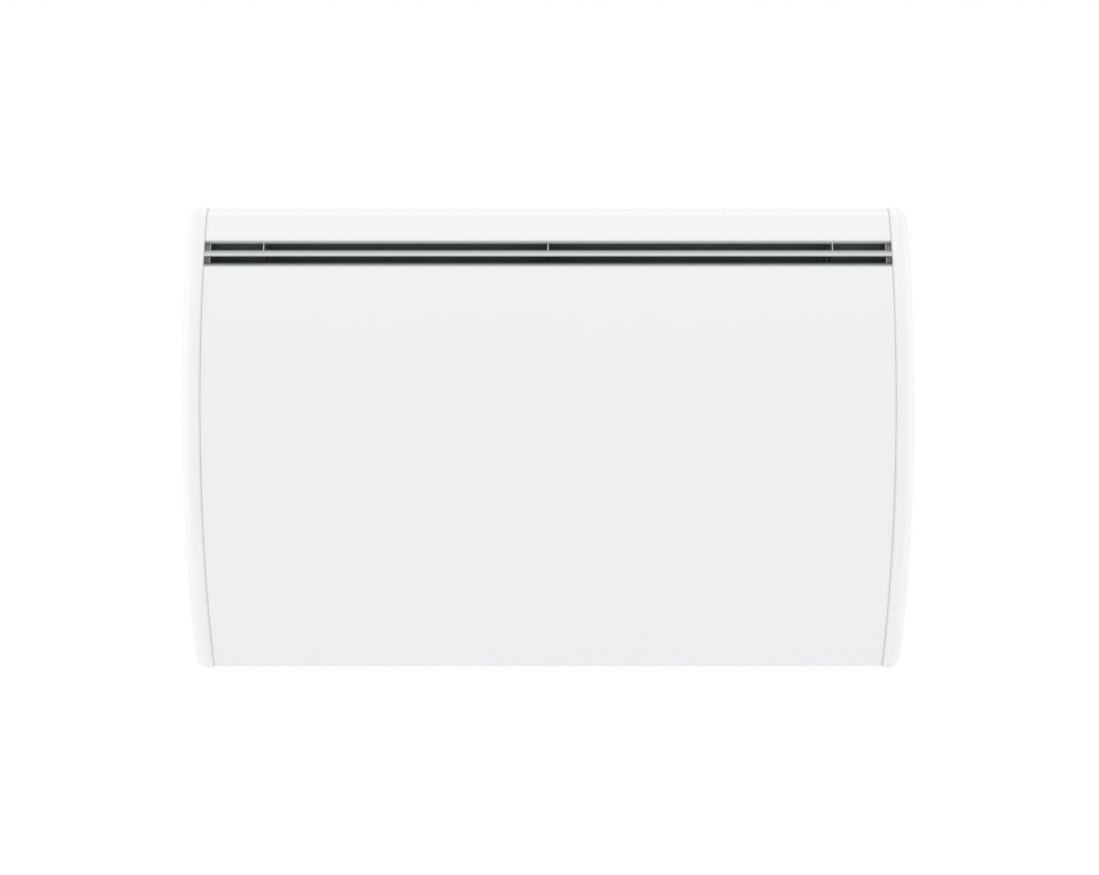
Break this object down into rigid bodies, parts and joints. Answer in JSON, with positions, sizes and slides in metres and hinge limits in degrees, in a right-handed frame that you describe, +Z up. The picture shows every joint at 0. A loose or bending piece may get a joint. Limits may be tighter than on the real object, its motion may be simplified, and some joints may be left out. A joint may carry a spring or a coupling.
{
  "type": "wall panel convector heater",
  "caption": "Slim wall-hung electric convector with a curved steel front, long outlet slots, moulded end caps and side controls.",
  "frame": {"origin": "on the wall, at the centre of the wall bracket's four screw holes, which is the heater's mid-width and mid-height", "axes": "+X to the right seen from the room, +Y into the wall, +Z up"},
  "size_m": [0.665, 0.108, 0.43],
  "materials": {
    "casing_paint": "fine satin white stove enamel",
    "cap_plastic": "satin white moulding",
    "galvanised": "galvanised sheet with a faint spangle",
    "black_sheet": "matt black heat-proof paint",
    "shield_sheet": "aluminised sheet",
    "element_alloy": "extruded, slightly dulled by heat",
    "rod_steel": "heat-tinted stainless sheath",
    "ceramic": "unglazed steatite",
    "terminal_brass": "plated brass",
    "zinc_steel": "bright zinc plate",
    "copper_tube": "drawn copper",
    "bezel_plastic": "fine grained light grey moulding",
    "knob_plastic": "satin white moulding",
    "rocker_plastic": "glossy black moulding",
    "paddle_plastic": "glossy white moulding",
    "phenolic": "dark brown phenolic moulding",
    "rubber": "moulded rubber",
    "bracket_paint": "light grey powder coat"
  },
  "bodies": {
    "heater": {"air_deflector": "black_sheet", "back_panel": "galvanised", "bezel_screws": "zinc_steel", "bulb_clips": "zinc_steel", "cap_screws": "zinc_steel", "casing_screws": "zinc_steel", "centre_brace": "galvanised", "chassis_screws": "zinc_steel", "clamp_screws": "zinc_steel", "control_bezel": "bezel_plastic", "cord_clamp": "zinc_steel", "cord_grommet": "rubber", "earth_nut": "terminal_brass", "earth_stud": "terminal_brass", "element_body": "element_alloy", "element_rod": "rod_steel", "element_terminals": "terminal_brass", "front_casing": "casing_paint", "heat_shield": "shield_sheet", "intake_grille": "casing_paint", "left_bush": "ceramic", "left_duct_wall": "galvanised", "left_end_cap": "cap_plastic", "left_side_plate": "galvanised", "left_slot_blank": "black_sheet", "right_bush": "ceramic", "right_duct_wall": "galvanised", "right_end_cap": "cap_plastic", "right_side_plate": "galvanised", "right_slot_blank": "black_sheet", "rocker_body": "rocker_plastic", "sensing_bulb": "copper_tube", "terminal_block": "ceramic", "terminal_screws": "terminal_brass", "thermal_cutout": "zinc_steel", "thermostat_body": "phenolic", "thermostat_nut": "terminal_brass", "wall_bracket": "bracket_paint", "wall_spacers": "rubber"},
    "dial": {"thermostat_knob": "knob_plastic", "thermostat_shaft": "zinc_steel"},
    "rocker": {"rocker_paddle": "paddle_plastic"},
    "left_latch": {"left_latch": "zinc_steel"},
    "right_latch": {"right_latch": "zinc_steel"}
  },
  "joints": [
    {"name": "dial_turn", "type": "hinge", "parent": "heater", "child": "dial", "pos_m": [0.325, -0.057, 0.098], "axis": [-1, 0, 0], "range_deg": [0, 270]},
    {"name": "rocker_tilt", "type": "hinge", "parent": "heater", "child": "rocker", "pos_m": [0.3175, -0.057, 0.04], "axis": [0, -1, 0], "range_deg": [0, 16]},
    {"name": "left_latch_turn", "type": "hinge", "parent": "heater", "child": "left_latch", "pos_m": [-0.15, -0.009, 0.15], "axis": [0, 0, -1], "range_deg": [0, 90]},
    {"name": "right_latch_turn", "type": "hinge", "parent": "heater", "child": "right_latch", "pos_m": [0.15, -0.009, 0.15], "axis": [0, 0, 1], "range_deg": [0, 90]}
  ]
}
